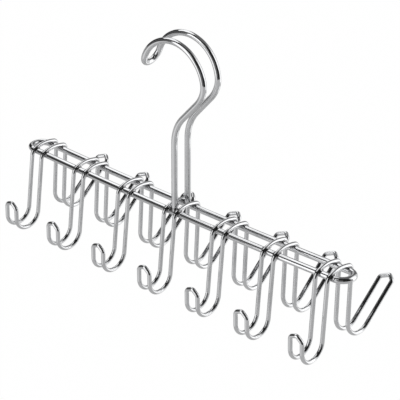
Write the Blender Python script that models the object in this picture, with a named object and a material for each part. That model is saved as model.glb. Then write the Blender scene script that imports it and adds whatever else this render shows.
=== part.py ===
"""Accessory hanger: a bowed crossbar loop under one doubled-wire main hook, with seven accessory hooks.

Every piece is round steel wire, plated bright. The crossbar is a flat racetrack of wire, rolled to a slight
bow. The main hook is one wire bent double, and its two legs stand on the two rods of the crossbar. Each
accessory hook is a closed loop of thinner wire that saddles both rods: a round J hangs in front of them and
a long slanted arm rises behind them. The pieces are welded where they meet, so nothing moves.

Frame: metres, +Z up, X along the crossbar, -Y the front with the round J ends. The origin is the place
under the crown of the main hook that rests on a closet rail, so the hanger hangs from its origin.
"""

import math

import bpy
from mathutils import Vector

# Wires and the seam that stands for each weld
CROSSBAR_WIRE = 0.0040
MAIN_HOOK_WIRE = 0.0038
ACCESSORY_WIRE = 0.0024
WELD_SEAM = 0.0003

# Crossbar loop
ROD_SPACING = 0.0133
END_OVERHANG = 0.0132
END_RISE = 0.0017

# Row of accessory hooks
ACCESSORY_HOOK_COUNT = 7
HOOK_PITCH = 0.0400
LEG_CLEARANCE = 0.0013
SADDLE_ARCH = math.radians(5)

# Front of an accessory hook, a round J that leans forward and curls closer on its way up
FRONT_LEAN = math.radians(5.8)
FRONT_LEG = 0.0380
FRONT_BEND_RADIUS = 0.0096
FRONT_BEND = math.radians(90)
FRONT_CURL_RADIUS = 0.0082
FRONT_CURL = math.radians(84)
FRONT_TIP = 0.0058

# Rear of an accessory hook, a wide bend with a long slanted arm
REAR_LEAN = math.radians(-3.3)
REAR_LEG = 0.0336
REAR_BEND_RADIUS = 0.0097
REAR_BEND = math.radians(135.2)
REAR_ARM = 0.0283

# Main hook, from its legs to its tip
LEG_INSET = 0.0008
LEG_HEIGHT = 0.0424
NECK_RADIUS = 0.0261
NECK_BEND = math.radians(42.5)
NECK_RUN = 0.0162
THROAT_RADIUS = 0.0174
THROAT_BEND = math.radians(52.7)
CROWN_RADIUS = 0.0241
CROWN_BEND = math.radians(122.4)
POINT_RADIUS = 0.0260
POINT_BEND = math.radians(22.5)
HOOK_TURN = math.radians(2.6)
SPLAY = 0.0004
RACK = 0.0007
SPLAY_START = 0.0500
SPLAY_RUN = 0.0500

# Facets of the wires: degrees of bend for each ring, and extra rings on the circle of a wire
SMALL_BEND_STEP = math.radians(15)
LARGE_BEND_STEP = math.radians(8)
THIN_WIRE_RESOLUTION = 2
THICK_WIRE_RESOLUTION = 4
ROD_SPANS = 12

# Sizes that follow
ROD_RADIUS = CROSSBAR_WIRE / 2
ROD_OFFSET = ROD_SPACING / 2
HOOK_ROW_HALF = HOOK_PITCH * (ACCESSORY_HOOK_COUNT - 1) / 2
LOOP_HALF = HOOK_ROW_HALF + END_OVERHANG
BOW_RADIUS = (LOOP_HALF ** 2 + END_RISE ** 2) / (2 * END_RISE)
WIRE_PAIR_HALF = (MAIN_HOOK_WIRE + ACCESSORY_WIRE) / 2 + LEG_CLEARANCE
WRAP_RADIUS = ROD_RADIUS + WELD_SEAM + ACCESSORY_WIRE / 2
LEG_OFFSET = ROD_OFFSET - LEG_INSET
LEG_SEAT = ROD_RADIUS + WELD_SEAM

OBJECT_NAME = "accessory_hanger"


def clear_scene():
    """Remove every object, so that the file builds the same from any start."""
    for item in list(bpy.data.objects):
        bpy.data.objects.remove(item, do_unlink=True)


def make_collection(name):
    """A new collection under the scene's own."""
    collection = bpy.data.collections.new(name)
    bpy.context.scene.collection.children.link(collection)
    return collection


def bright_plating(name, colour, roughness):
    """A bright plated metal."""
    material = bpy.data.materials.new(name)
    material.use_nodes = True
    shader = material.node_tree.nodes["Principled BSDF"]
    shader.inputs["Base Color"].default_value = colour
    shader.inputs["Metallic"].default_value = 1
    shader.inputs["Roughness"].default_value = roughness
    return material


class BentWire:
    """The centre line of a wire that is bent in one plane, as (across, up) points.

    The wire is fed forward along its heading, and each bend turns the heading, to the left where the
    angle is positive.
    """

    def __init__(self, start, heading):
        self.points = [Vector(start)]
        self.heading = heading
        self.centre = None

    def direction(self):
        """The unit vector of the heading."""
        return Vector((math.cos(self.heading), math.sin(self.heading)))

    def run(self, length):
        """Feed a straight length."""
        self.points.append(self.points[-1] + self.direction() * length)

    def bend(self, radius, angle, step):
        """Bend by an angle at a radius, with a point at each step of the angle."""
        side = math.copysign(1, angle)
        across = Vector((-math.sin(self.heading), math.cos(self.heading))) * side
        self.centre = self.points[-1] + across * radius
        count = max(1, round(abs(angle) / step))
        start = self.heading
        for index in range(1, count + 1):
            self.heading = start + angle * index / count
            across = Vector((-math.sin(self.heading), math.cos(self.heading))) * side
            self.points.append(self.centre - across * radius)


def rounded_tip(first, last, direction, step):
    """The points between two parallel wires whose ends meet in a half circle."""
    middle = (first + last) / 2
    arm = (first - last) / 2
    count = round(math.pi / step)
    points = []
    for index in range(1, count):
        angle = math.pi * index / count
        points.append(middle + arm * math.cos(angle) + direction * arm.length * math.sin(angle))
    return points


def wire_curve(name, points, wire, resolution, closed):
    """A round wire along its centre line, as a curve with filled caps where it is open."""
    curve = bpy.data.curves.new(name, "CURVE")
    curve.dimensions = "3D"
    curve.twist_mode = "MINIMUM"
    curve.bevel_depth = wire / 2
    curve.bevel_resolution = resolution
    curve.render_resolution_u = 0
    curve.use_fill_caps = not closed
    spline = curve.splines.new("POLY")
    spline.points.add(len(points) - 1)
    for place, point in zip(spline.points, points):
        place.co = (*point, 1)
    spline.use_cyclic_u = closed
    spline.use_smooth = True
    return curve


def place_piece(name, curve, material, collection, parent):
    """An object of its own for a piece, carried by the part's empty."""
    piece = bpy.data.objects.new(name, curve)
    if not curve.materials:
        curve.materials.append(material)
    collection.objects.link(piece)
    piece.parent = parent
    return piece


def crossbar_points():
    """The racetrack of the crossbar, laid out flat and then rolled to the bow."""
    rod_half = LOOP_HALF - ROD_OFFSET
    flat = []
    for side in (1, -1):
        for index in range(ROD_SPANS):
            flat.append(Vector((side * rod_half * (2 * index / ROD_SPANS - 1), -side * ROD_OFFSET, 0)))
        first = Vector((side * rod_half, -side * ROD_OFFSET, 0))
        last = Vector((side * rod_half, side * ROD_OFFSET, 0))
        flat.append(first)
        flat += rounded_tip(first, last, Vector((side, 0, 0)), SMALL_BEND_STEP)
    return [bowed(point) for point in flat]


def bowed(point):
    """A point of the flat crossbar, rolled onto the bow."""
    angle = point.x / BOW_RADIUS
    return Vector((BOW_RADIUS * math.sin(angle), point.y, BOW_RADIUS * (1 - math.cos(angle))))


def accessory_side(lean, leg, bends, end):
    """Half of an accessory hook's side view, from the top of its saddle outwards and down to its end."""
    arch_radius = (ROD_OFFSET + WRAP_RADIUS * math.sin(SADDLE_ARCH)) / math.sin(SADDLE_ARCH)
    crown = WRAP_RADIUS * math.cos(SADDLE_ARCH) + arch_radius * (1 - math.cos(SADDLE_ARCH))
    wire = BentWire((0, crown), 0)
    wire.bend(arch_radius, -SADDLE_ARCH, SADDLE_ARCH / 2)
    wire.bend(WRAP_RADIUS, lean + SADDLE_ARCH - math.pi / 2, SMALL_BEND_STEP)
    wire.run(leg)
    for radius, angle in bends:
        wire.bend(radius, angle, SMALL_BEND_STEP)
    wire.run(end)
    return wire


def accessory_hook_points():
    """The closed loop of an accessory hook: one side from front to rear, and the other one back."""
    front_bends = [(FRONT_BEND_RADIUS, FRONT_BEND), (FRONT_CURL_RADIUS, FRONT_CURL)]
    rear_bends = [(REAR_BEND_RADIUS, REAR_BEND)]
    front = accessory_side(FRONT_LEAN, FRONT_LEG, front_bends, FRONT_TIP)
    rear = accessory_side(REAR_LEAN, REAR_LEG, rear_bends, REAR_ARM)
    side = [Vector((-point.x, point.y)) for point in reversed(front.points)] + rear.points[1:]
    first = [Vector((-WIRE_PAIR_HALF, point.x, point.y)) for point in side]
    second = [Vector((WIRE_PAIR_HALF, point.x, point.y)) for point in reversed(side)]
    rear_heading = Vector((0, rear.direction().x, rear.direction().y))
    front_heading = Vector((0, -front.direction().x, front.direction().y))
    rear_tip = rounded_tip(first[-1], second[0], rear_heading, SMALL_BEND_STEP)
    front_tip = rounded_tip(second[-1], first[0], front_heading, SMALL_BEND_STEP)
    return first + rear_tip + second + front_tip


def main_hook_side():
    """The side view of the main hook, from its leg to its tip, with the centre of its crown."""
    side = BentWire((0, LEG_SEAT), math.pi / 2)
    side.run(LEG_HEIGHT)
    side.bend(NECK_RADIUS, -NECK_BEND, LARGE_BEND_STEP)
    side.run(NECK_RUN)
    side.bend(THROAT_RADIUS, THROAT_BEND, LARGE_BEND_STEP)
    side.bend(CROWN_RADIUS, CROWN_BEND, LARGE_BEND_STEP)
    crown_centre = side.centre
    side.bend(POINT_RADIUS, POINT_BEND, LARGE_BEND_STEP)
    return side, crown_centre


def rail_seat():
    """The place under the crown of the main hook that rests on a closet rail."""
    crown_centre = main_hook_side()[1]
    return Vector((crown_centre.x, 0, crown_centre.y + CROWN_RADIUS - MAIN_HOOK_WIRE / 2))


def main_hook_points():
    """The doubled wire of the main hook, from one leg over the crown to the tip, and back to the other."""
    side = main_hook_side()[0]
    front = [splayed(point, -1) for point in side.points]
    rear = [splayed(point, 1) for point in reversed(side.points)]
    heading = Vector((side.direction().x, 0, side.direction().y))
    tip = rounded_tip(front[-1], rear[0], heading, SMALL_BEND_STEP)
    return front + tip + rear


def splayed(point, side):
    """A point of one of the main hook's two wires, which stand a little apart and askew over the crown."""
    share = min(1, max(0, (point.y - SPLAY_START) / SPLAY_RUN))
    return Vector((point.x, side * (LEG_OFFSET + SPLAY * share), point.y + side * RACK * share))


def build_crossbar(collection, parent):
    """The loop that carries every hook."""
    material = bright_plating("crossbar_plating", (0.78, 0.79, 0.80, 1), 0.10)
    curve = wire_curve("crossbar_loop", crossbar_points(), CROSSBAR_WIRE, THICK_WIRE_RESOLUTION, True)
    place_piece("crossbar_loop", curve, material, collection, parent)


def build_main_hook(collection, parent):
    """The hook that hangs on a closet rail, turned a little on the crossbar."""
    material = bright_plating("main_hook_plating", (0.76, 0.77, 0.78, 1), 0.10)
    curve = wire_curve("main_hook", main_hook_points(), MAIN_HOOK_WIRE, THICK_WIRE_RESOLUTION, False)
    hook = place_piece("main_hook", curve, material, collection, parent)
    hook.rotation_euler.z = HOOK_TURN


def build_accessory_hooks(collection, parent):
    """The row of accessory hooks, each square to the bowed crossbar where it stands."""
    material = bright_plating("accessory_hook_plating", (0.75, 0.76, 0.77, 1), 0.12)
    curve = wire_curve("accessory_hook", accessory_hook_points(), ACCESSORY_WIRE, THIN_WIRE_RESOLUTION, True)
    for index in range(ACCESSORY_HOOK_COUNT):
        along = index * HOOK_PITCH - HOOK_ROW_HALF
        hook = place_piece(f"accessory_hook_{index + 1}", curve, material, collection, parent)
        hook.location = bowed(Vector((along, 0, 0)))
        hook.rotation_euler.y = -along / BOW_RADIUS


def main():
    """Build the hanger."""
    clear_scene()
    collection = make_collection(OBJECT_NAME)
    hanger = bpy.data.objects.new(OBJECT_NAME, None)
    hanger.location = -rail_seat()
    collection.objects.link(hanger)
    build_crossbar(collection, hanger)
    build_main_hook(collection, hanger)
    build_accessory_hooks(collection, hanger)


main()
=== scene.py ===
"""Looks of the accessory hanger: plated wires with their welds, in a white studio.

The hanger is a bowed crossbar loop under one doubled-wire main hook, with seven accessory hooks. Each wire is
a round section carried along its bent centre line, and each weld is a small surface between the wires that it
joins. Lengths are in metres and angles in radians. The origin is the place under the crown of the main hook
that rests on a closet rail, +X runs along the crossbar and -Y is the front.
"""

import logging
import math
from dataclasses import dataclass, field, replace
from enum import Enum
from typing import Any

import bpy
import numpy as np
from mathutils import Matrix, Vector

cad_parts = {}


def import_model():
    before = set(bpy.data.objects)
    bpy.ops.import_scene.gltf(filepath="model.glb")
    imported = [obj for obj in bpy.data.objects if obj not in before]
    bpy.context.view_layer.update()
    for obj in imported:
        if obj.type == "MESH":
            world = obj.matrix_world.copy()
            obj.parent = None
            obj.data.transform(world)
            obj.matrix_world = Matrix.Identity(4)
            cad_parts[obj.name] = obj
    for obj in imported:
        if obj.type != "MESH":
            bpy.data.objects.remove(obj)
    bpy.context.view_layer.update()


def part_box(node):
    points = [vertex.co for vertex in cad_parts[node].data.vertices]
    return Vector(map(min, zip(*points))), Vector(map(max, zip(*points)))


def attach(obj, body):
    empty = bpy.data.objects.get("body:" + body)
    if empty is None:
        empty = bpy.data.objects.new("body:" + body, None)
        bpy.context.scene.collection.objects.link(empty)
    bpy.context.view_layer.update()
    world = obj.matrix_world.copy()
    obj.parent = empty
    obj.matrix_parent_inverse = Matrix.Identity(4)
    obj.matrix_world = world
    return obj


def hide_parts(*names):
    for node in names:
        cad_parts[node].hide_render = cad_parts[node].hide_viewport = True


LOG = logging.getLogger("accessory_hanger")
BODY = "root"
TURN = 2 * math.pi


# Surfaces


def unit(vectors: np.ndarray) -> np.ndarray:
    """Each row divided by its length."""
    return vectors / np.linalg.norm(vectors, axis=-1, keepdims=True)


def carried(points: np.ndarray, matrix: Matrix) -> np.ndarray:
    """Points turned and moved by a rigid matrix."""
    return points @ np.array(matrix.to_3x3()).T + np.array(matrix.translation)


@dataclass
class CentreLine:
    """The centre line of a wire, with the direction its section starts from at each point."""

    points: np.ndarray
    starts: np.ndarray

    def moved(self, matrix: Matrix) -> "CentreLine":
        """The same line carried by a rigid matrix."""
        return CentreLine(carried(self.points, matrix), self.starts @ np.array(matrix.to_3x3()).T)

    def lengths(self) -> np.ndarray:
        """The length along the wire at each point."""
        steps = np.linalg.norm(np.diff(self.points, axis=0), axis=1)
        return np.concatenate(([0.0], np.cumsum(steps)))


@dataclass
class Surface:
    """Vertices and faces of a closed surface, with each vertex's place on its wire."""

    vertices: np.ndarray
    faces: list[tuple[int, ...]]
    places: np.ndarray

    def moved(self, matrix: Matrix) -> "Surface":
        """The same surface carried by a rigid matrix."""
        return Surface(carried(self.vertices, matrix), self.faces, self.places)


def grid_faces(rows: int, columns: int, closed: bool) -> np.ndarray:
    """Quads of a grid that wraps along its columns, and along its rows where it is closed.

    Args:
        rows: Rings along the wire.
        columns: Points round each ring.
        closed: True where the last ring meets the first.

    Returns:
        One row of four vertex numbers for each face, facing out where the rings turn about the line.
    """
    row = np.arange(rows if closed else rows - 1)[:, None]
    column = np.arange(columns)[None, :]
    following = (row + 1) % rows
    beside = (column + 1) % columns
    corners = (
        row * columns + column,
        row * columns + beside,
        following * columns + beside,
        following * columns + column,
    )
    return np.stack(corners, -1).reshape(-1, 4)


def skin(rings: np.ndarray, places: np.ndarray, closed: bool) -> Surface:
    """Quads over rings of points, which close on themselves or by a fan at each end.

    A fan's middle is the mean of its ring.

    Args:
        rings: The points, by ring and by place round it.
        places: What each point keeps of its place, in the same order.
        closed: True where the last ring meets the first.

    Returns:
        The closed surface.
    """
    vertices = rings.reshape(-1, 3)
    spots = places.reshape(-1, 3)
    count, columns = len(vertices), rings.shape[1]
    faces = [tuple(face) for face in grid_faces(len(rings), columns, closed).tolist()]
    if not closed:
        vertices = np.vstack((vertices, rings[0].mean(0), rings[-1].mean(0)))
        spots = np.vstack((spots, places[0].mean(0), places[-1].mean(0)))
        last = count - columns
        faces += [(count, (index + 1) % columns, index) for index in range(columns)]
        faces += [(count + 1, last + index, last + (index + 1) % columns) for index in range(columns)]
    return Surface(vertices, faces, spots)


def tube(line: CentreLine, radii: np.ndarray, sides: int, closed: bool) -> Surface:
    """A round section carried along a centre line.

    A vertex is the line's point plus the radius times (cos a * start + sin a * (tangent x start)), where a is
    its angle round the section.

    Args:
        line: The centre line.
        radii: The radius at each point of the line.
        sides: Points round the section.
        closed: True where the wire's ends meet; otherwise each end is closed by a fan.

    Returns:
        The surface, with places (radius * cos a, radius * sin a, length along the wire).
    """
    before = np.roll(line.points, 1, axis=0)
    after = np.roll(line.points, -1, axis=0)
    if not closed:
        before[0] = line.points[0]
        after[-1] = line.points[-1]
    tangents = unit(after - before)
    starts = unit(line.starts - np.sum(line.starts * tangents, -1, keepdims=True) * tangents)
    across = np.cross(tangents, starts)
    angles = np.arange(sides) * TURN / sides
    ring = np.cos(angles)[None, :, None] * starts[:, None] + np.sin(angles)[None, :, None] * across[:, None]
    rings = line.points[:, None] + radii[:, None, None] * ring
    places = np.empty((len(line.points), sides, 3))
    places[..., 0] = radii[:, None] * np.cos(angles)
    places[..., 1] = radii[:, None] * np.sin(angles)
    places[..., 2] = line.lengths()[:, None]
    return skin(rings, places, closed)


def joined(surfaces: list[Surface]) -> Surface:
    """Several closed surfaces as one, with their faces renumbered.

    Args:
        surfaces: The surfaces, each closed on its own.

    Returns:
        One surface with all their vertices, in order.
    """
    offsets = np.cumsum([0] + [len(surface.vertices) for surface in surfaces[:-1]])
    faces = [
        tuple(int(offset) + corner for corner in face)
        for offset, surface in zip(offsets, surfaces)
        for face in surface.faces
    ]
    vertices = np.vstack([surface.vertices for surface in surfaces])
    places = np.vstack([surface.places for surface in surfaces])
    return Surface(vertices, faces, places)


def make_piece(name: str, surface: Surface, material: bpy.types.Material) -> bpy.types.Object:
    """A smooth-shaded object of a surface, with its place in its mesh.

    Args:
        name: The object's name.
        surface: What it is made of.
        material: Its finish.

    Returns:
        The object, linked to the scene.
    """
    mesh = bpy.data.meshes.new(name)
    mesh.from_pydata(surface.vertices.tolist(), [], surface.faces)
    mesh.polygons.foreach_set("use_smooth", np.ones(len(mesh.polygons), dtype=bool))
    place = mesh.attributes.new("wire_place", "FLOAT_VECTOR", "POINT")
    place.data.foreach_set("vector", surface.places.astype(np.float32).ravel())
    mesh.materials.append(material)
    mesh.update()
    piece = bpy.data.objects.new(name, mesh)
    bpy.context.scene.collection.objects.link(piece)
    return piece


# Bent wires

TIP_POINTS = 37


class BentWire:
    """The centre line of a wire that is bent in one plane, as (across, up) points.

    The wire is fed forward along its heading, and each bend turns the heading, to the left where the angle is
    positive. Points are about one spacing apart, and closer in a bend.
    """

    LEAST_STEPS = 6
    LARGEST_STEP = math.radians(4)

    def __init__(self, start: tuple[float, float], heading: float, spacing: float) -> None:
        """Start the wire.

        Args:
            start: The first point.
            heading: The direction that it is fed in, from the axis across towards the axis up.
            spacing: How far apart its points are.
        """
        self.points = np.array([start], dtype=float)
        self.headings = np.array([heading], dtype=float)
        self.spacing = spacing
        self.centre = np.zeros(2)

    def direction(self) -> np.ndarray:
        """The unit vector of the last heading."""
        return np.array((math.cos(self.headings[-1]), math.sin(self.headings[-1])))

    def run(self, length: float) -> None:
        """Feed a straight length: the last point plus each share of the length along the heading."""
        shares = np.linspace(0, 1, max(2, round(length / self.spacing) + 1))[1:]
        self._add(self.points[-1] + shares[:, None] * length * self.direction(), 0 * shares)

    def bend(self, radius: float, angle: float) -> None:
        """Bend by an angle at a radius.

        The centre lies one radius to the side that the wire turns to, and each point lies one radius from it,
        square to its own heading.

        Args:
            radius: The radius of the centre line.
            angle: How far the heading turns.
        """
        side = math.copysign(1, angle)
        heading = self.headings[-1]
        left = np.array((-math.sin(heading), math.cos(heading)))
        self.centre = self.points[-1] + side * radius * left
        by_angle = round(abs(angle) / self.LARGEST_STEP)
        by_length = round(abs(angle) * radius / self.spacing)
        count = max(self.LEAST_STEPS, by_angle, by_length)
        turns = np.linspace(0, angle, count + 1)[1:]
        lefts = np.stack((-np.sin(heading + turns), np.cos(heading + turns)), -1)
        self._add(self.centre - side * radius * lefts, turns)

    def _add(self, points: np.ndarray, turns: np.ndarray) -> None:
        """Keep new points, whose headings are the last one plus their turns."""
        self.headings = np.concatenate((self.headings, self.headings[-1] + turns))
        self.points = np.vstack((self.points, points))


def rounded_tip(first: np.ndarray, last: np.ndarray, direction: np.ndarray, start: np.ndarray) -> CentreLine:
    """The half circle between the ends of two parallel wires.

    A point is the middle of the two ends, plus cos a times half of what parts them, plus sin a times as much
    along the wires' direction.

    Args:
        first: The end of the wire that leads in.
        last: The end of the wire that leads out.
        direction: The direction that the tip points in.
        start: The direction that the section starts from, square to the tip's plane.

    Returns:
        The line without its two ends.
    """
    arm = (first - last) / 2
    angles = np.linspace(0, math.pi, TIP_POINTS)[1:-1, None]
    reach = np.linalg.norm(arm) * unit(direction)
    points = (first + last) / 2 + np.cos(angles) * arm + np.sin(angles) * reach
    return CentreLine(points, np.repeat(start[None], len(points), axis=0))


@dataclass(frozen=True)
class BentTip:
    """The closed end of a loop of wire, with three uneven bends between two straight ends.

    The lead and the lag are the straight ends, and the turns and the radii are those of the bends.
    """

    lead: float
    lag: float
    turns: tuple[float, float, float]
    radii: tuple[float, float, float]
    spacing: float = 0.0004

    def line(
        self, first: np.ndarray, last: np.ndarray, direction: np.ndarray, start: np.ndarray
    ) -> CentreLine:
        """The bent wire between the ends of two parallel wires.

        It is bent flat, as (across, along) points. The bends alone fall short of the other wire, and the two
        runs between them make up for that: they solve run 1 * heading 1 + run 2 * heading 2 = what is left,
        which a first wire without them measures. A point in space is the middle of the two ends, plus its
        share across of what parts them, plus its reach along their direction.

        Args:
            first: The end of the wire that leads in.
            last: The end of the wire that leads out.
            direction: The direction that the tip points in.
            start: The direction that the section starts from, square to the tip's plane.

        Returns:
            The line without its two ends.
        """
        arm = (last - first) / 2
        half = float(np.linalg.norm(arm))
        headings = math.pi / 2 - np.cumsum(self.turns)[:2]
        runs = np.zeros(2)
        for _ in range(2):
            wire = BentWire((-half, 0.0), math.pi / 2, self.spacing)
            wire.run(self.lead)
            for radius, turn, run in zip(self.radii, self.turns, (*runs, self.lag)):
                wire.bend(radius, -turn)
                if run > 0:
                    wire.run(run)
            left = np.array((half, 0.0)) - wire.points[-1]
            runs = runs + np.linalg.solve(np.stack((np.cos(headings), np.sin(headings))), left)
        across, along = wire.points[1:-1, :1], wire.points[1:-1, 1:]
        points = (first + last) / 2 + across / half * arm + along * unit(direction)
        return CentreLine(points, np.repeat(start[None], len(points), axis=0))


def chained(*lines: CentreLine) -> CentreLine:
    """Lines end to end."""
    return CentreLine(np.vstack([line.points for line in lines]), np.vstack([line.starts for line in lines]))


# Welds


def distances(points: np.ndarray, line: np.ndarray) -> np.ndarray:
    """How far each point lies from a line of straight spans.

    The nearest place on a span is its start plus the span times a share, kept from 0 to 1, that the point's
    offset has along it.

    Args:
        points: The points.
        line: The corners of the line.

    Returns:
        The distance of each point.
    """
    spans = np.diff(line, axis=0)
    offsets = points[:, None] - line[None, :-1]
    shares = np.clip(np.sum(offsets * spans, -1) / np.sum(spans**2, -1), 0, 1)
    return np.linalg.norm(offsets - shares[..., None] * spans, axis=-1).min(1)


@dataclass(frozen=True)
class Weld:
    """The nugget where two crossing wires were pressed together and welded, with its fillet between them.

    Its surface lies where the blend of the two wires' distances is zero, a hair under the wires themselves,
    so that only the fillet shows. The fillet is uneven by waves over the sphere of directions, which drift
    from one nugget to the next.
    """

    blend: float = 0.0012
    recess: float = 0.00003
    reach: float = 0.0040
    unevenness: float = 0.30
    waves: tuple[float, float, float] = (5.0, 6.0, 7.0)
    drifts: tuple[float, float, float] = (2.4, 4.8, -2.4)
    rows: int = 46
    columns: int = 60
    halvings: int = 16

    def stretch(self, middle: np.ndarray) -> np.ndarray:
        """The stretch of a rod about a point, each way twice as long as the nugget can reach."""
        along = np.array((2 * self.reach, 0.0, 0.0))
        return np.stack((middle - along, middle + along))

    def surface(self, centre: np.ndarray, wires: list[tuple[np.ndarray, float]], number: int) -> Surface:
        """The nugget, seen from a point inside both wires along rays over the whole sphere.

        With a and b the distances to the two wires' surfaces, the blend is the smaller of them, less the
        square of (k - |a - b|) over 4 k where that is positive. Each ray is halved again and again about the
        place where the blend crosses zero, and k changes a little from ray to ray.

        Args:
            centre: A point inside both wires.
            wires: The centre line and the radius of each wire.
            number: The nugget's number, which makes its unevenness its own.

        Returns:
            A closed surface about the centre.
        """
        polar = np.linspace(0, math.pi, self.rows + 2)[1:-1, None]
        around = np.arange(self.columns)[None, :] * TURN / self.columns
        rays = np.stack(
            (np.sin(polar) * np.cos(around), np.sin(polar) * np.sin(around), -np.cos(polar) + 0 * around), -1
        ).reshape(-1, 3)
        uneven = np.sin(rays * self.waves + number * np.array(self.drifts)).mean(1)
        blend = self.blend * (1 + self.unevenness * uneven)
        near = np.zeros(len(rays))
        far = np.full(len(rays), self.reach)
        for _ in range(self.halvings):
            middle = (near + far) / 2
            points = centre + middle[:, None] * rays
            first, second = (distances(points, line) - radius for line, radius in wires)
            overlap = np.clip(blend - np.abs(first - second), 0, None)
            inside = np.minimum(first, second) - overlap**2 / (4 * blend) + self.recess < 0
            near = np.where(inside, middle, near)
            far = np.where(inside, far, middle)
        rings = (centre + near[:, None] * rays).reshape(self.rows, self.columns, 3)
        return skin(rings, rings - centre, False)


# Shader maths

# The Mix node's two colour inputs and its colour output, by number
FIRST_COLOUR, SECOND_COLOUR, MIXED_COLOUR = 6, 7, 2


class Value:
    """A shader socket, with the arithmetic that adds its Math nodes."""

    def __init__(self, nodes: "Nodes", socket: bpy.types.NodeSocket | None) -> None:
        """Wrap an output socket."""
        self.nodes = nodes
        self.socket = socket

    def _math(self, operation: str, *operands: Any) -> "Value":
        """A Math node on some operands."""
        return self.nodes.add("ShaderNodeMath", {"operation": operation}, dict(enumerate(operands)))

    def __add__(self, other: Any) -> "Value":
        """The sum."""
        return self._math("ADD", self, other)

    __radd__ = __add__

    def __mul__(self, other: Any) -> "Value":
        """The product."""
        return self._math("MULTIPLY", self, other)

    __rmul__ = __mul__

    def clamp(self) -> "Value":
        """The value kept from 0 to 1."""
        return self.nodes.add("ShaderNodeClamp", {}, {"Value": self})

    def smoothstep(self, low: float, high: float) -> "Value":
        """0 below low, 1 above high and smooth between."""
        inputs = {"Value": self, "From Min": low, "From Max": high}
        return self.nodes.add("ShaderNodeMapRange", {"interpolation_type": "SMOOTHSTEP"}, inputs)


class Nodes:
    """The node tree of a material or the world, built from empty."""

    def __init__(self, owner: bpy.types.Material | bpy.types.World) -> None:
        """Empty the owner's node tree.

        Args:
            owner: The material or the world.
        """
        owner.use_nodes = True
        self.tree = owner.node_tree
        self.tree.nodes.clear()

    def add(self, kind: str, settings: dict[str, Any], inputs: dict[Any, Any], output: Any = 0) -> Value:
        """Add a node.

        Args:
            kind: The node's type.
            settings: Its own properties, set first.
            inputs: A value or a Value for each input, by name or number.
            output: The output to return, by name or number.

        Returns:
            The output, ready for arithmetic.
        """
        node = self.tree.nodes.new(kind)
        for name, setting in settings.items():
            setattr(node, name, setting)
        for key, entry in inputs.items():
            if isinstance(entry, Value):
                self.tree.links.new(entry.socket, node.inputs[key])
            else:
                node.inputs[key].default_value = entry
        found = node.outputs[output] if len(node.outputs) else None
        return Value(self, found)

    def noise(self, vector: Value, scale: float, detail: float) -> Value:
        """Soft noise of a scale, from 0 to 1."""
        return self.add("ShaderNodeTexNoise", {}, {"Vector": vector, "Scale": scale, "Detail": detail}, "Fac")

    def stretched(self, vector: Value, scale: tuple[float, float, float]) -> Value:
        """A vector with each of its axes scaled."""
        return self.add("ShaderNodeMapping", {"vector_type": "POINT"}, {"Vector": vector, "Scale": scale})


# Finishes


@dataclass(frozen=True)
class PlatedFinish:
    """Bright plating over drawn steel wire.

    The colour is mixed with a duller one by a slow stain. Fine lines run along the wire, where it was drawn
    through its die, and a film of handling makes some of it less sharp.
    """

    name: str
    bright: tuple[float, float, float, float] = (0.72, 0.725, 0.735, 1.0)
    dull: tuple[float, float, float, float] = (0.64, 0.645, 0.655, 1.0)
    roughness: float = 0.05
    haze: float = 0.03
    stain_scale: float = 55.0
    stain_detail: float = 4.0
    stain_range: tuple[float, float] = (0.42, 0.70)
    line_scale: float = 5200.0
    line_detail: float = 3.0
    line_stretch: float = 0.012
    line_height: float = 0.0000015
    ripple_scale: float = 420.0
    ripple_detail: float = 2.0
    ripple_height: float = 0.000004

    def material(self) -> bpy.types.Material:
        """The finish as a material.

        Returns:
            A new material.
        """
        material = bpy.data.materials.new(self.name)
        nodes = Nodes(material)
        place = nodes.add("ShaderNodeAttribute", {"attribute_name": "wire_place"}, {}, "Vector")
        body = nodes.add("ShaderNodeTexCoord", {}, {}, "Object")
        drawn = nodes.stretched(place, (1.0, 1.0, self.line_stretch))
        stain = nodes.noise(body, self.stain_scale, self.stain_detail).smoothstep(*self.stain_range)
        lines = nodes.noise(drawn, self.line_scale, self.line_detail)
        ripple = nodes.noise(body, self.ripple_scale, self.ripple_detail)
        tints = {"Factor": stain, FIRST_COLOUR: self.bright, SECOND_COLOUR: self.dull}
        colour = nodes.add("ShaderNodeMix", {"data_type": "RGBA"}, tints, MIXED_COLOUR)
        height = lines * (self.line_height / self.ripple_height) + ripple
        relief = {"Strength": 1.0, "Distance": self.ripple_height, "Height": height}
        bump = nodes.add("ShaderNodeBump", {}, relief)
        inputs = {
            "Base Color": colour,
            "Metallic": 1.0,
            "Roughness": (stain * self.haze + lines * (self.haze / 2) + self.roughness).clamp(),
            "Normal": bump,
        }
        shader = nodes.add("ShaderNodeBsdfPrincipled", {}, inputs)
        nodes.add("ShaderNodeOutputMaterial", {}, {"Surface": shader})
        return material


# The hanger


class Side(Enum):
    """The front and the rear of a piece that straddles the crossbar."""

    FRONT = -1
    REAR = 1


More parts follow.
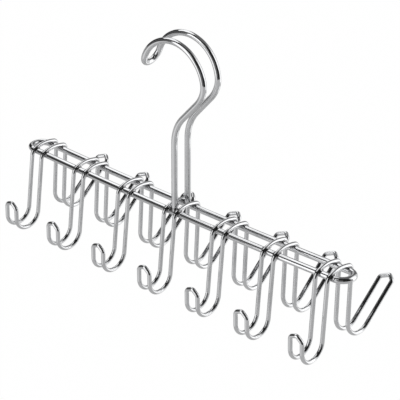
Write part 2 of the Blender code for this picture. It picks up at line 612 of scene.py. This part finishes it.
@dataclass
class Crossbar:
    """The flat racetrack of wire that carries every hook, rolled to a slight bow."""

    wire: float = 0.0040
    rod_spacing: float = 0.0133
    half_length: float = 0.1332
    end_rise: float = 0.0017
    spacing: float = 0.0012
    sides: int = 40

    @property
    def rod_offset(self) -> float:
        """How far each rod's centre lies from the middle."""
        return self.rod_spacing / 2

    @property
    def bow_radius(self) -> float:
        """The radius of the bow, from its half length and its rise."""
        return (self.half_length**2 + self.end_rise**2) / (2 * self.end_rise)

    def bow(self, flat: np.ndarray) -> np.ndarray:
        """Roll flat points onto the bow: along the crossbar becomes an angle of the bow's circle.

        Args:
            flat: Points about the crossbar before it is rolled.

        Returns:
            The same points about the bowed crossbar.
        """
        angles = flat[:, 0] / self.bow_radius
        radii = self.bow_radius - flat[:, 2]
        return np.stack((radii * np.sin(angles), flat[:, 1], self.bow_radius - radii * np.cos(angles)), -1)

    def line(self) -> CentreLine:
        """The racetrack: two straight rods joined by half circles, then bowed.

        Returns:
            The closed line, whose sections start from the top.
        """
        rod_half = self.half_length - self.rod_offset
        wire = BentWire((-rod_half, -self.rod_offset), 0.0, self.spacing)
        for _ in range(2):
            wire.run(2 * rod_half)
            wire.bend(self.rod_offset, math.pi)
        flat = np.column_stack((wire.points[:-1], np.zeros(len(wire.points) - 1)))
        above = flat + (0, 0, self.wire)
        return CentreLine(self.bow(flat), unit(self.bow(above) - self.bow(flat)))

    def build(self, origin: Matrix, material: bpy.types.Material) -> bpy.types.Object:
        """Make the loop in place.

        Args:
            origin: The place of the middle of the crossbar.
            material: Its finish.

        Returns:
            The loop, standing for its solid.
        """
        line = self.line().moved(origin)
        radii = np.full(len(line.points), self.wire / 2)
        piece = make_piece("crossbar_wire", tube(line, radii, self.sides, True), material)
        return dressed(piece, "crossbar_loop")


@dataclass
class MainHook:
    """One wire bent double over a closed tip, whose two legs stand on the crossbar's rods.

    Its plane is turned a little about the vertical. The two wires part over the crown by the splay, and the
    rack lifts the rear one and lowers the front one. The lean carries the crown out along the crossbar.
    """

    wire: float = 0.0038
    leg_offset: float = 0.00585
    leg_seat: float = 0.0023
    leg_height: float = 0.0424
    neck_radius: float = 0.0261
    neck_bend: float = math.radians(42.5)
    neck_run: float = 0.0162
    throat_radius: float = 0.0174
    throat_bend: float = math.radians(52.7)
    crown_radius: float = 0.0241
    crown_bend: float = math.radians(122.4)
    point_radius: float = 0.0215
    point_bend: float = math.radians(27.5)
    turn: float = math.radians(2.6)
    splay: float = 0.0006
    rack: float = 0.0007
    splay_start: float = 0.0500
    splay_run: float = 0.0500
    lean: float = 0.0008
    lean_start: float = 0.0740
    lean_run: float = 0.0140
    spacing: float = 0.0009
    sides: int = 40
    weld: Weld = Weld(blend=0.0015, reach=0.0048, drifts=(1.7, 3.4, -1.7))
    weld_share: float = 0.75

    def side_view(self) -> tuple[BentWire, np.ndarray]:
        """The wire in its own plane from leg to tip.

        Returns:
            The bent wire, and the centre of its crown.
        """
        wire = BentWire((0.0, self.leg_seat), math.pi / 2, self.spacing)
        wire.run(self.leg_height)
        wire.bend(self.neck_radius, -self.neck_bend)
        wire.run(self.neck_run)
        wire.bend(self.throat_radius, self.throat_bend)
        wire.bend(self.crown_radius, self.crown_bend)
        crown = wire.centre
        wire.bend(self.point_radius, self.point_bend)
        return wire, crown

    def rail_seat(self) -> np.ndarray:
        """The place under the crown that rests on a rail."""
        crown = self.side_view()[1]
        return np.array((crown[0], 0.0, crown[1] + self.crown_radius - self.wire / 2))

    def half(self, wire: BentWire, side: Side) -> CentreLine:
        """One of the two parallel wires, splayed, racked and leaning a little.

        The splay and the rack move the wire out and up by a share s of its height above their start, and the
        lean moves it along by s * s * (3 - 2 s), where s is the share above its own start.

        Args:
            wire: The wire in its own plane.
            side: Which of the two.

        Returns:
            Its line from leg to tip.
        """
        along, height = wire.points.T
        share = np.clip((height - self.splay_start) / self.splay_run, 0, 1)
        tilt = np.clip((height - self.lean_start) / self.lean_run, 0, 1)
        leaning = along + self.lean * tilt**2 * (3 - 2 * tilt)
        offset = side.value * (self.leg_offset + self.splay * share)
        points = np.stack((leaning, offset, height + side.value * self.rack * share), -1)
        lefts = np.stack((-np.sin(wire.headings), 0 * wire.headings, np.cos(wire.headings)), -1)
        return CentreLine(points, lefts)

    def line(self) -> CentreLine:
        """Up the front wire, round the tip and down the rear wire.

        Returns:
            The open line, with its ends over the rods.
        """
        wire = self.side_view()[0]
        front = self.half(wire, Side.FRONT)
        rear = self.half(wire, Side.REAR)
        rear = CentreLine(rear.points[::-1], rear.starts[::-1])
        direction = np.array((wire.direction()[0], 0.0, wire.direction()[1]))
        tip = rounded_tip(front.points[-1], rear.points[0], direction, front.starts[-1])
        return chained(front, tip, rear)

    def build(self, origin: Matrix, material: bpy.types.Material) -> bpy.types.Object:
        """Make the hook in place.

        Args:
            origin: The place of the middle of the crossbar.
            material: Its finish.

        Returns:
            The hook, standing for its solid.
        """
        line = self.line().moved(origin @ Matrix.Rotation(self.turn, 4, "Z"))
        radii = np.full(len(line.points), self.wire / 2)
        piece = make_piece("main_hook_wire", tube(line, radii, self.sides, False), material)
        return dressed(piece, "main_hook")

    def build_welds(
        self, origin: Matrix, crossbar: Crossbar, material: bpy.types.Material
    ) -> bpy.types.Object:
        """Make the two nuggets between the rods and the legs, which end a little above them.

        Each has its middle at the weld's share of the way from the rod's centre to the leg's foot. For the
        nugget the leg ends in a half ball, which spans the gap down to the rod.

        Args:
            origin: The place of the middle of the crossbar.
            crossbar: The crossbar, for its rods.
            material: Their finish.

        Returns:
            The nuggets, as one piece.
        """
        nuggets = []
        turn = Matrix.Rotation(self.turn, 3, "Z")
        for side in Side:
            foot = turn @ Vector((0.0, side.value * self.leg_offset, self.leg_seat))
            rod = np.array((foot.x, side.value * crossbar.rod_offset, 0.0))
            leg = np.array((foot, foot + Vector((0.0, 0.0, 2 * self.weld.reach))))
            centre = rod + (leg[0] - rod) * self.weld_share
            wires = [(leg, self.wire / 2), (self.weld.stretch(rod), crossbar.wire / 2)]
            nuggets.append(self.weld.surface(centre, wires, side.value))
        surface = joined(nuggets).moved(origin)
        return joining(make_piece("main_hook_welds", surface, material))


@dataclass(frozen=True)
class HandSet:
    """How far one hook was set by hand from its pattern: along the rods, and in the turn of each end."""

    shift: float = 0.0
    front_twist: float = 0.0
    rear_twist: float = 0.0


@dataclass(frozen=True)
class HookSide:
    """One side of an accessory hook, from the top of its saddle to its end.

    The saddle falls through the arch, the shoulder bends it into a leaning leg, and below the leg come the
    bends, as radii and angles, and a straight end.
    """

    arch: float
    shoulder: float
    lean: float
    leg: float
    bends: tuple[tuple[float, float], ...]
    end: float


@dataclass
class AccessoryHook:
    """A closed loop of thin wire: a round J in front, a saddle over both rods and a slanted arm behind.

    Its two wires lie half a pair's spacing to each side of its middle. Their legs pass the rods' centres at
    the legs' reach, and the shoulders above them sink into the rods, deeper in front. The joint is the butt
    weld between the wire's two ends.
    """

    wire: float = 0.0026
    pair_half: float = 0.0044
    rod_offset: float = 0.00665
    leg_reach: float = 0.0035
    saddle_rise: float = 0.0034
    front: HookSide = HookSide(
        arch=math.radians(26),
        shoulder=0.0043,
        lean=math.radians(5.8),
        leg=0.0379,
        bends=((0.00955, math.radians(90)), (0.0081, math.radians(84))),
        end=0.0055,
    )
    rear: HookSide = HookSide(
        arch=math.radians(13),
        shoulder=0.0028,
        lean=math.radians(-3.3),
        leg=0.0336,
        bends=((0.0097, math.radians(135.2)),),
        end=0.02795,
    )
    joint_rise: float = 0.00007
    joint_length: float = 0.0007
    joint_share: float = 0.62
    arm_end: BentTip = BentTip(
        0.0009, 0.0011, (math.radians(64), math.radians(67), math.radians(49)), (0.0021, 0.0016, 0.0022)
    )
    hook_end: BentTip = BentTip(
        0.0005, 0.0009, (math.radians(52), math.radians(58), math.radians(70)), (0.0022, 0.0020, 0.0028)
    )
    weld: Weld = Weld()
    hand: HandSet = HandSet()
    spacing: float = 0.0008
    sides: int = 28

    def half(self, side: HookSide) -> BentWire:
        """Half of the side view, from the top of the saddle outwards and down to its end.

        The saddle is an arc that falls from its top through its arch angle, and a shoulder bends it down into
        the leg. The arc's radius is the one that brings the shoulder's end onto the leg's own line, which
        passes the rod's centre at the leg's reach.

        Args:
            side: Which half.

        Returns:
            The wire in its own plane.
        """
        slope = math.tan(side.lean)
        reach = self.rod_offset + self.leg_reach / math.cos(side.lean)
        rise = self.saddle_rise - side.shoulder * (math.cos(side.arch) - math.sin(side.lean))
        arc = reach - side.shoulder * (math.cos(side.lean) - math.sin(side.arch)) - slope * rise
        arc /= math.sin(side.arch) - slope * (1 - math.cos(side.arch))
        wire = BentWire((0.0, self.saddle_rise), 0.0, self.spacing)
        wire.bend(arc, -side.arch)
        wire.bend(side.shoulder, side.lean + side.arch - math.pi / 2)
        foot = self.leg_reach * math.sin(side.lean) - side.leg * math.cos(side.lean)
        wire.run((wire.points[-1, 1] - foot) / math.cos(side.lean))
        for radius, angle in side.bends:
            wire.bend(radius, angle)
        wire.run(side.end)
        return wire

    def line(self) -> CentreLine:
        """One wire from front to rear, round the arm's tip, back along the other, and round the J's tip.

        Returns:
            The closed line, set as the hand left it.
        """
        front, rear = self.half(self.front), self.half(self.rear)
        mirror = np.array((-1.0, 1.0))
        view = np.vstack((front.points[:0:-1] * mirror, rear.points))
        front_lefts = np.stack((np.sin(front.headings), np.cos(front.headings)), -1)[:0:-1]
        lefts = np.vstack((front_lefts, np.stack((-np.sin(rear.headings), np.cos(rear.headings)), -1)))
        ones = np.ones((len(view), 1))
        starts = np.hstack((0 * ones, lefts))
        first = CentreLine(np.hstack((-self.pair_half * ones, view)), starts)
        second = CentreLine(np.hstack((self.pair_half * ones, view))[::-1], starts[::-1])
        rear_direction = np.array((0.0, *rear.direction()))
        front_direction = np.array((0.0, *(front.direction() * mirror)))
        rear_tip = self.arm_end.line(first.points[-1], second.points[0], rear_direction, first.starts[-1])
        front_tip = self.hook_end.line(second.points[-1], first.points[0], front_direction, first.starts[0])
        return self.twisted(chained(first, rear_tip, second, front_tip))

    def twisted(self, line: CentreLine) -> CentreLine:
        """The wire with each end turned a little about its legs.

        Beyond the legs, a point moves sideways by how far out it lies times the tangent of the end's twist.

        Args:
            line: The wire as its pattern has it.

        Returns:
            The wire as it was set.
        """
        legs = self.rod_offset + self.leg_reach
        front = np.clip(-line.points[:, 1] - legs, 0, None) * math.tan(self.hand.front_twist)
        rear = np.clip(line.points[:, 1] - legs, 0, None) * math.tan(self.hand.rear_twist)
        points = line.points.copy()
        points[:, 0] += front - rear
        return CentreLine(points, line.starts)

    def radii(self, line: CentreLine) -> np.ndarray:
        """The wire's radius, with a low swelling where its two ends are butt welded.

        The swelling is its rise times exp(-d * d), where d is the distance from the joint in joint lengths.

        Args:
            line: The wire's line.

        Returns:
            The radius at each of its points.
        """
        along = line.lengths()
        away = (along - self.joint_share * along[-1]) / self.joint_length
        return self.wire / 2 + self.joint_rise * np.exp(-(away**2))

    def build(self, number: int, origin: Matrix, material: bpy.types.Material) -> bpy.types.Object:
        """Make one hook in place.

        Args:
            number: Its number in the row, from 1.
            origin: The place where it stands on the crossbar.
            material: Its finish.

        Returns:
            The hook, standing for its solid.
        """
        line = self.line()
        surface = tube(line.moved(origin), self.radii(line), self.sides, True)
        piece = make_piece(f"accessory_wire_{number}", surface, material)
        return dressed(piece, f"accessory_hook_{number}")

    def build_welds(
        self, number: int, origin: Matrix, rod_radius: float, material: bpy.types.Material
    ) -> bpy.types.Object:
        """Make the four nuggets where one hook's two wires cross the two rods.

        Args:
            number: The hook's number in the row, from 1.
            origin: The place where the hook stands on the crossbar.
            rod_radius: The radius of the crossbar's wire.
            material: Their finish.

        Returns:
            The nuggets, as one piece.
        """
        half = self.wire / 2
        line = self.line().points
        nuggets = []
        for across in (-self.pair_half, self.pair_half):
            for side in Side:
                rod = np.array((across, side.value * self.rod_offset, 0.0))
                away = np.linalg.norm(line - rod, axis=1)
                seat = line[away.argmin()]
                centre = rod + (seat - rod) * (away.min() - half + rod_radius) / (2 * away.min())
                beside = line[(np.abs(line[:, 0] - across) < half) & (away < 2 * self.weld.reach)]
                wires = [(beside, half), (self.weld.stretch(rod), rod_radius)]
                nuggets.append(self.weld.surface(centre, wires, 4 * number + len(nuggets)))
        surface = joined(nuggets).moved(origin)
        return joining(make_piece(f"saddle_welds_{number}", surface, material))


def joining(piece: bpy.types.Object) -> bpy.types.Object:
    """Let a piece that joins two solids ride on the part's body.

    Args:
        piece: The piece.

    Returns:
        The same piece.
    """
    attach(piece, BODY)
    LOG.info("%s: %d faces, between solids", piece.name, len(piece.data.polygons))
    return piece


def dressed(piece: bpy.types.Object, node: str) -> bpy.types.Object:
    """Let a piece ride on the part's body and stand for a solid.

    Args:
        piece: The piece.
        node: The solid's node.

    Returns:
        The same piece.
    """
    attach(piece, BODY)
    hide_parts(node)
    low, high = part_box(node)
    LOG.info("%s: %d faces, for a solid from %s to %s", piece.name, len(piece.data.polygons), low, high)
    return piece


@dataclass
class Hanger:
    """The whole hanger: the crossbar, its main hook and its row of accessory hooks."""

    hook_pitch: float = 0.0400
    hand_sets: tuple[HandSet, ...] = (
        HandSet(shift=0.0002, front_twist=math.radians(-2)),
        HandSet(shift=-0.0003, front_twist=math.radians(-2), rear_twist=math.radians(1)),
        HandSet(shift=0.0001, rear_twist=math.radians(-0.5)),
        HandSet(shift=0.0001, front_twist=math.radians(0.5)),
        HandSet(shift=0.0002),
        HandSet(shift=-0.0003, front_twist=math.radians(-1.5), rear_twist=math.radians(1)),
        HandSet(shift=0.0001, front_twist=math.radians(1.5), rear_twist=math.radians(-1)),
    )
    crossbar: Crossbar = field(default_factory=Crossbar)
    main_hook: MainHook = field(default_factory=MainHook)
    accessory_hook: AccessoryHook = field(default_factory=AccessoryHook)

    def hook_place(self, index: int) -> Matrix:
        """The place of an accessory hook on the bowed crossbar, square to it.

        Args:
            index: The hook's place in the row, from 0.

        Returns:
            Its place from the crossbar's middle.
        """
        along = (index - (len(self.hand_sets) - 1) / 2) * self.hook_pitch + self.hand_sets[index].shift
        place = self.crossbar.bow(np.array([[along, 0.0, 0.0]]))[0]
        turn = Matrix.Rotation(-along / self.crossbar.bow_radius, 4, "Y")
        return Matrix.Translation(Vector(place)) @ turn

    def build(self) -> list[bpy.types.Object]:
        """Make every piece.

        Returns:
            The pieces, in order.
        """
        origin = Matrix.Translation(Vector(-self.main_hook.rail_seat()))
        thick = PlatedFinish("thick_wire_plating")
        thin = PlatedFinish("thin_wire_plating", line_scale=6400.0, roughness=0.06)
        pieces = [
            self.crossbar.build(origin, thick.material()),
            self.main_hook.build(origin, thick.material()),
        ]
        thin_material = thin.material()
        # The welds' plating is half as bright as the wires'. This is partly the welds' own darker tint and
        # partly a painted shade for the dark creases where each wire meets a rod.
        weld_tint_and_shade_material = PlatedFinish(
            "weld_plating_tint_and_shade",
            bright=(0.36, 0.36, 0.365, 1.0),
            dull=(0.18, 0.18, 0.185, 1.0),
            roughness=0.10,
            haze=0.10,
            ripple_scale=1100.0,
            ripple_height=0.00003,
        ).material()
        pieces.append(self.main_hook.build_welds(origin, self.crossbar, weld_tint_and_shade_material))
        for index, hand in enumerate(self.hand_sets):
            place = origin @ self.hook_place(index)
            hook = replace(self.accessory_hook, hand=hand)
            pieces.append(hook.build(index + 1, place, thin_material))
            pieces.append(hook.build_welds(index + 1, place, self.crossbar.wire / 2, weld_tint_and_shade_material))
        return pieces


# The studio


@dataclass
class Camera:
    """The photograph's view, as a direction and a distance from a target near the crossbar's middle."""

    azimuth: float = math.radians(44.24)
    elevation: float = math.radians(25.50)
    roll: float = math.radians(0.157)
    distance: float = 1.0900
    target: tuple[float, float, float] = (0.0076, 0.0100, -0.1029)
    focal_pixels: float = 1811.0
    frame_pixels: float = 400.0
    sensor: float = 36.0
    clip: tuple[float, float] = (0.05, 20.0)

    def build(self) -> bpy.types.Object:
        """Make it the scene's camera.

        Returns:
            The camera.
        """
        cos_elevation = math.cos(self.elevation)
        back = Vector(
            (
                math.sin(self.azimuth) * cos_elevation,
                -math.cos(self.azimuth) * cos_elevation,
                math.sin(self.elevation),
            )
        )
        level = Vector((math.cos(self.azimuth), math.sin(self.azimuth), 0.0))
        above = back.cross(level)
        right = math.cos(self.roll) * level + math.sin(self.roll) * above
        up = math.cos(self.roll) * above - math.sin(self.roll) * level
        data = bpy.data.cameras.new("photo_view")
        data.sensor_width = self.sensor
        data.lens = self.focal_pixels / self.frame_pixels * self.sensor
        data.clip_start, data.clip_end = self.clip
        camera = bpy.data.objects.new("photo_view", data)
        turn = Matrix((right, up, back)).transposed().to_4x4()
        camera.matrix_world = Matrix.Translation(Vector(self.target) + back * self.distance) @ turn
        bpy.context.scene.collection.objects.link(camera)
        bpy.context.scene.camera = camera
        return camera


class Tone(Enum):
    """How bright each of the tent's cloths looks, where white paper is 1."""

    LAMP = 1.60
    WINDOW = 1.40
    VEIL = 1.15
    HAZE = 0.84
    CLOTH = 0.55
    SHADE = 0.17
    DUSK = 0.06
    DARK = 0.02


@dataclass(frozen=True)
class Card:
    """A cloth of one tone in the light tent, curved about the hanger.

    Its azimuths run from the front through the right, and its elevations from the level up, in degrees.
    """

    name: str
    tone: Tone
    azimuths: tuple[float, float]
    elevations: tuple[float, float]
    distance: float
    step: float = 3.0

    def surface(self, centre: np.ndarray) -> Surface:
        """The card as a grid over azimuth a and elevation e.

        A point is the centre plus the distance times (sin a * cos e, -cos a * cos e, sin e).

        Args:
            centre: The middle of the tent.

        Returns:
            An open sheet.
        """
        columns = max(2, round((self.azimuths[1] - self.azimuths[0]) / self.step) + 1)
        rows = max(2, round((self.elevations[1] - self.elevations[0]) / self.step) + 1)
        azimuth = np.radians(np.linspace(*self.azimuths, columns))[None, :]
        elevation = np.radians(np.linspace(*self.elevations, rows))[:, None]
        directions = np.stack(
            (
                np.sin(azimuth) * np.cos(elevation),
                -np.cos(azimuth) * np.cos(elevation),
                np.sin(elevation) + 0 * azimuth,
            ),
            -1,
        )
        vertices = centre + self.distance * directions.reshape(-1, 3)
        row = np.arange(rows - 1)[:, None] * columns
        column = np.arange(columns - 1)[None, :]
        corners = (row + column, row + column + columns, row + column + columns + 1, row + column + 1)
        faces = np.stack(corners, -1).reshape(-1, 4).tolist()
        return Surface(vertices, [tuple(face) for face in faces], vertices)

    def build(self, centre: np.ndarray) -> bpy.types.Object:
        """Hang the card where only bright metal sees it.

        Args:
            centre: The middle of the tent.

        Returns:
            The card.
        """
        material = bpy.data.materials.new(f"{self.name}_cloth")
        nodes = Nodes(material)
        glow = nodes.add("ShaderNodeEmission", {}, {"Strength": self.tone.value})
        nodes.add("ShaderNodeOutputMaterial", {}, {"Surface": glow})
        card = make_piece(self.name, self.surface(centre), material)
        card.visible_camera = False
        card.visible_diffuse = False
        card.visible_transmission = False
        card.visible_shadow = False
        return card


@dataclass
class Studio:
    """A pale floor in a white room, and a light tent of pale and dark cloths for the plating to mirror."""

    centre: tuple[float, float, float] = (0.0, 0.0, -0.09)
    floor_drop: float = 1.85
    floor_size: float = 40.0
    white: tuple[float, float, float, float] = (1.0, 1.0, 1.0, 1.0)
    pale: tuple[float, float, float, float] = (0.96, 0.96, 0.96, 1.0)
    fill_strength: float = 1.0
    floor_share: float = 0.94
    cards: tuple[Card, ...] = (
        Card("tent_cloth", Tone.CLOTH, (0, 360), (-90, 90), 1.70),
        Card("tent_roof", Tone.SHADE, (0, 360), (49, 90), 1.66),
        Card("low_window", Tone.WINDOW, (136, 168), (-50, -33), 1.62),
        Card("low_front", Tone.HAZE, (319, 373), (-40, -15), 1.61),
        Card("operator_side", Tone.DARK, (15, 103), (-12, 78), 1.60),
        Card("operator_gap", Tone.SHADE, (5, 49), (-14, 24), 1.58),
        Card("right_corner", Tone.SHADE, (103, 117), (-11, 14), 1.57),
        Card("right_veil", Tone.VEIL, (110, 159), (10, 52), 1.56),
        Card("back_window", Tone.HAZE, (132, 224), (-27, 43), 1.55),
        Card("right_window", Tone.LAMP, (121, 156), (-23, 41), 1.54),
        Card("back_corner", Tone.SHADE, (180, 220), (2, 76), 1.52),
        Card("high_window", Tone.WINDOW, (226, 299), (30, 71), 1.50),
        Card("left_gap", Tone.SHADE, (239, 264), (-15, 2), 1.49),
        Card("left_corner", Tone.DARK, (246, 319), (1, 35), 1.48),
        Card("left_veil", Tone.SHADE, (288, 333), (-11, 48), 1.46),
        Card("left_flag", Tone.DUSK, (299, 318), (-8, 46), 1.44),
        Card("front_window", Tone.LAMP, (325, 353), (-16, 39), 1.43),
        Card("front_valance", Tone.DARK, (299, 404), (48, 74), 1.42),
    )

    def seen(self, nodes: Nodes) -> Value:
        """1 where a ray comes straight from the camera or off metal or glass, and 0 elsewhere.

        Args:
            nodes: The node tree that asks.

        Returns:
            The answer, as a value of that tree.
        """
        path = nodes.tree.nodes.new("ShaderNodeLightPath")
        rays = [Value(nodes, path.outputs[f"Is {kind} Ray"]) for kind in ("Camera", "Glossy", "Transmission")]
        return (rays[0] + rays[1] + rays[2]).clamp()

    def world(self) -> None:
        """White where it is seen, and a softer fill for everything else."""
        world = bpy.data.worlds.new("white_room")
        bpy.context.scene.world = world
        nodes = Nodes(world)
        fill = nodes.add("ShaderNodeBackground", {}, {"Color": self.white, "Strength": self.fill_strength})
        shown = nodes.add("ShaderNodeBackground", {}, {"Color": self.white, "Strength": 1.0})
        mixed = nodes.add("ShaderNodeMixShader", {}, {0: self.seen(nodes), 1: fill, 2: shown})
        nodes.add("ShaderNodeOutputWorld", {}, {"Surface": mixed})

    def floor(self) -> bpy.types.Object:
        """A pale floor that is near white where it is seen and still takes the hanger's shadow.

        Returns:
            The floor.
        """
        material = bpy.data.materials.new("floor_paint")
        nodes = Nodes(material)
        paint = nodes.add("ShaderNodeBsdfDiffuse", {}, {"Color": self.pale})
        glow = nodes.add("ShaderNodeEmission", {}, {"Color": self.white, "Strength": 1.0})
        share = self.seen(nodes) * self.floor_share
        mixed = nodes.add("ShaderNodeMixShader", {}, {0: share, 1: paint, 2: glow})
        nodes.add("ShaderNodeOutputMaterial", {}, {"Surface": mixed})
        half = self.floor_size / 2
        across = np.array((-half, half, half, -half))
        depth = np.array((-half, -half, half, half))
        corners = np.stack((across, depth, np.full(4, -self.floor_drop)), -1)
        floor = make_piece("floor", Surface(corners, [(0, 1, 2, 3)], corners), material)
        return floor

    def build(self) -> None:
        """Set up the room, the floor and the tent."""
        self.world()
        self.floor()
        for card in self.cards:
            card.build(np.array(self.centre))
            LOG.info("%s: %s", card.name, card.tone.name.lower())


def main() -> None:
    """Build the hanger and its studio."""
    logging.basicConfig(level=logging.INFO, format="%(name)s: %(message)s")
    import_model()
    pieces = Hanger().build()
    LOG.info("%d pieces", len(pieces))
    Camera().build()
    Studio().build()
    scene = bpy.context.scene
    scene.view_settings.view_transform = "Standard"


if __name__ == "__main__":
    main()
